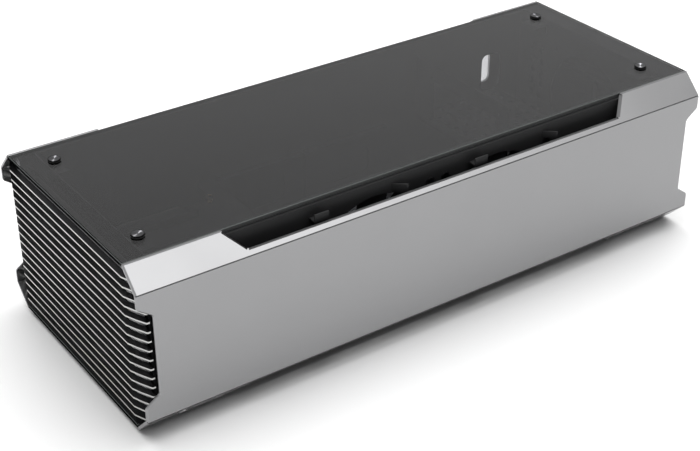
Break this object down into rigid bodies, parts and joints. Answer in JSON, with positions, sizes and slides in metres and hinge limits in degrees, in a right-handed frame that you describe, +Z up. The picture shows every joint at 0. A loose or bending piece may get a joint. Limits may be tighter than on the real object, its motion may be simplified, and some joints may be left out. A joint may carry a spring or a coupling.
{
  "type": "mini-itx pc case",
  "caption": "Long slim computer case lying on its side, with bent aluminium front and rear panels, glass sides, a finned removable end cover and a sliding dust filter.",
  "frame": {"origin": "on the floor under the middle of the case, at the bottom of its rubber feet", "axes": "+X along the case towards its base end, with the finned cover at -X; +Y towards the rear panel; +Z up, through the upper glass"},
  "size_m": [0.648, 0.274, 0.177],
  "materials": {
    "anodised_panel": "fine bead-blasted silver-grey anodised sheet",
    "dark_glass": "lightly tinted toughened glass with ground edges",
    "black_rubber": "matte black rubber",
    "black_turned": "black anodised turned screw",
    "black_steel": "fine-textured black powder coat",
    "black_plastic": "black moulded plastic",
    "grey_plastic": "dark grey moulded plastic",
    "fin_metal": "thin blades, black faces and bright ground edges",
    "fine_mesh": "fine black woven mesh",
    "brass": "plain brass",
    "plated_steel": "plated steel",
    "ribbon": "matte black ribbon cable"
  },
  "bodies": {
    "case": {"front_panel": "anodised_panel", "rear_panel": "anodised_panel", "upper_glass": "dark_glass", "lower_glass": "dark_glass", "upper_grommets": "black_rubber", "lower_grommets": "black_rubber", "upper_thumbscrews": "black_turned", "lower_thumbscrews": "black_turned", "rubber_feet": "black_rubber", "base_pads": "black_rubber", "front_wall": "black_steel", "rear_wall": "black_steel", "io_bulkhead": "black_steel", "base_bulkhead": "black_steel", "glass_brackets": "black_steel", "glass_posts": "plated_steel", "front_panel_studs": "black_plastic", "rear_panel_studs": "black_plastic", "board_tray": "black_steel", "board_standoffs": "brass", "slot_covers": "black_steel", "slot_cover_screws": "black_turned", "psu_bracket": "black_steel", "riser_bracket": "black_steel", "riser_socket": "black_plastic", "riser_ribbon": "ribbon", "riser_plug": "black_plastic", "ssd_tray_a": "black_steel", "ssd_tray_b": "black_steel", "fan_frame_a": "black_plastic", "fan_frame_b": "black_plastic", "fan_screws": "black_turned", "io_housing": "black_plastic", "usb_ports": "plated_steel", "base_cover_frame": "black_plastic"},
    "fan_a": {"fan_rotor_a": "grey_plastic"},
    "fan_b": {"fan_rotor_b": "grey_plastic"},
    "button": {"power_button": "anodised_panel"},
    "end_cover": {"end_cover_frame": "black_plastic", "end_cover_fins": "fin_metal", "end_cover_mesh": "fine_mesh"},
    "filter": {"base_filter": "black_plastic", "base_filter_mesh": "fine_mesh"}
  },
  "joints": [
    {"name": "fan_a_spin", "type": "hinge", "parent": "case", "child": "fan_a", "pos_m": [-0.071, -0.1, 0.09], "axis": [0, 1, 0], "continuous": true},
    {"name": "fan_b_spin", "type": "hinge", "parent": "case", "child": "fan_b", "pos_m": [0.071, -0.1, 0.09], "axis": [0, 1, 0], "continuous": true},
    {"name": "power_button_press", "type": "slide", "parent": "case", "child": "button", "axis": [0, 0.7071, 0.7071], "range_m": [0, 0.0012], "stiffness_N_per_m": 400, "springref_m": -0.001},
    {"name": "end_cover_pull", "type": "slide", "parent": "case", "child": "end_cover", "axis": [-1, 0, 0], "range_m": [0, 0.06]},
    {"name": "base_filter_pull", "type": "slide", "parent": "case", "child": "filter", "axis": [0, 1, 0], "range_m": [0, 0.15]}
  ]
}
